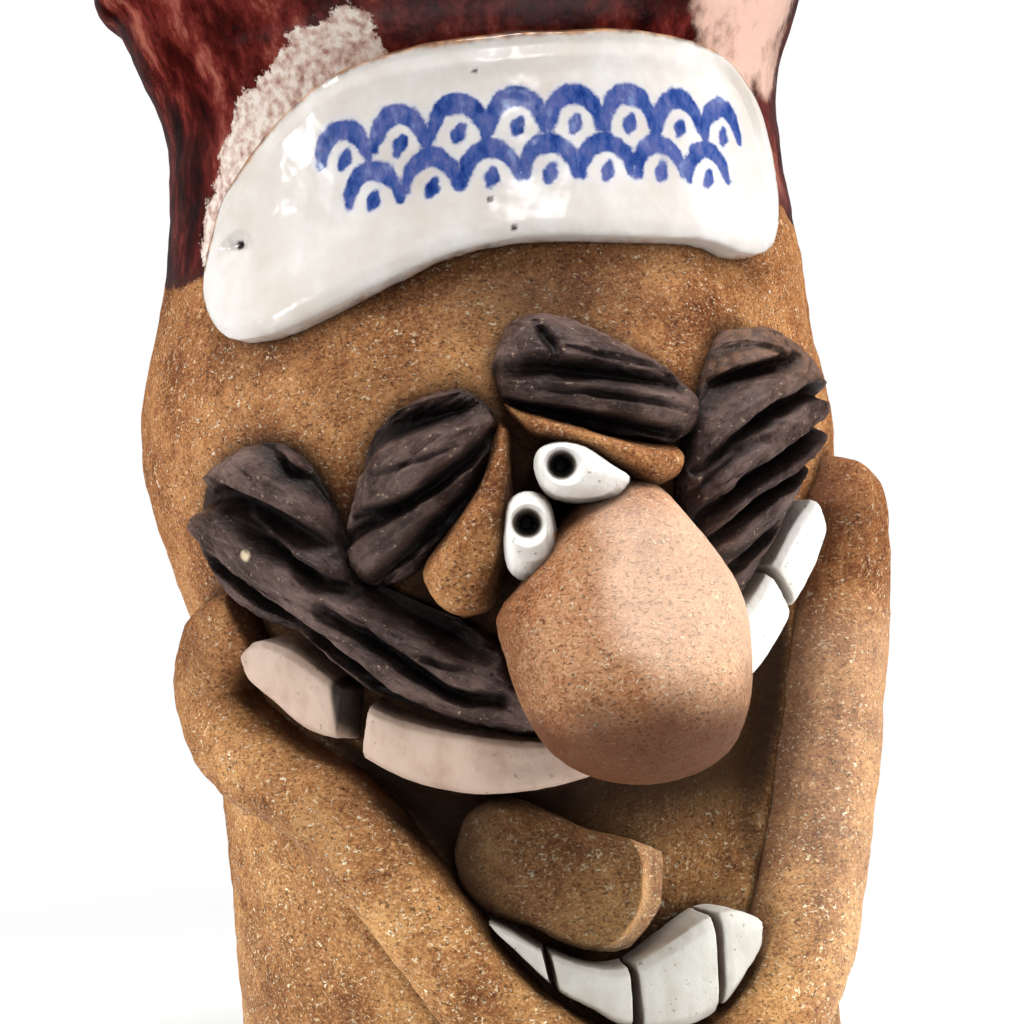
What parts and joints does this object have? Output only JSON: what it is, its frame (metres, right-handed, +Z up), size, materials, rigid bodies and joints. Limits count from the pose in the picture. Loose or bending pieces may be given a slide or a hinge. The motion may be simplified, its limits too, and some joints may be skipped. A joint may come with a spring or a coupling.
{
  "type": "stoneware face pot",
  "caption": "Waisted stoneware pot with a rolled rim, a blank arched plaque and a comic laughing face built up on its front from applied pieces of clay.",
  "frame": {"origin": "centre of the flat foot, in the plane the pot stands on", "axes": "+Z up through the open mouth; the face looks along -Y; +X is to the right of someone facing the face"},
  "size_m": [0.1102, 0.1314, 0.184],
  "materials": {
    "stoneware": "unglazed speckled brown stoneware; dark red-brown glossy glaze over the collar and rim",
    "dark_stoneware": "unglazed purple-brown clay, combed and slightly sheened",
    "white_glaze": "glossy off-white glaze with cobalt blue brush marks",
    "white_clay": "smooth matt white clay",
    "cream_clay": "smooth matt pinkish cream clay"
  },
  "bodies": {
    "root": {"pot_body": "stoneware", "banner_plaque": "white_glaze", "brow_left": "dark_stoneware", "brow_right": "dark_stoneware", "eyelid_left": "stoneware", "eyelid_right": "stoneware", "eye_left": "white_clay", "eye_right": "white_clay", "nose": "stoneware", "moustache_left": "dark_stoneware", "moustache_right": "dark_stoneware", "tooth_upper_left": "cream_clay", "tooth_upper_front": "cream_clay", "tooth_upper_right_inner": "white_clay", "tooth_upper_right_outer": "white_clay", "tooth_lower_1": "white_clay", "tooth_lower_2": "white_clay", "tooth_lower_3": "white_clay", "tooth_lower_4": "white_clay", "tongue": "stoneware", "lip": "stoneware"}
  },
  "joints": []
}
